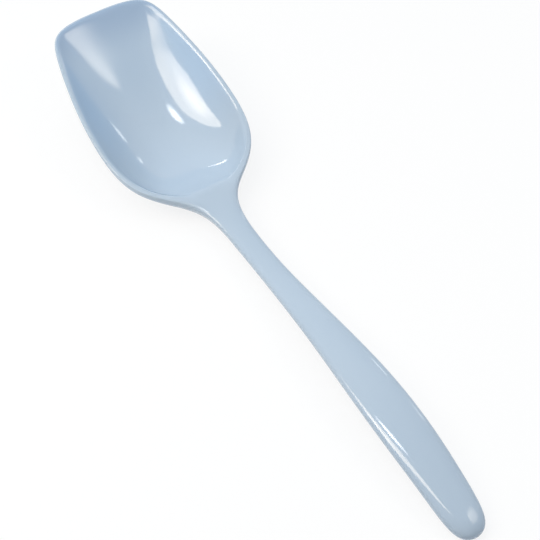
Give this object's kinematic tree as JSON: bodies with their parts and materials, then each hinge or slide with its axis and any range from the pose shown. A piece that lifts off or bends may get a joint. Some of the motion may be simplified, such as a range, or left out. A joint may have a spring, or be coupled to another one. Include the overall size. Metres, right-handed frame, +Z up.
{
  "type": "cooking spoon",
  "caption": "Moulded cooking spoon with a deep, blunt-fronted bowl and a long, gently arched handle that widens into a rounded grip.",
  "frame": {"origin": "on the table, midway along the spoon's length and width, as it rests on its belly and the end of its handle", "axes": "+X along the spoon from the bowl's tip to the handle's end, +Z up, out of the bowl; the bowl's mouth is tilted towards the tip"},
  "size_m": [0.28, 0.0622, 0.0349],
  "materials": {
    "melamine": "gloss, pale blue, coloured through"
  },
  "bodies": {
    "root": {"spoon": "melamine"}
  },
  "joints": []
}
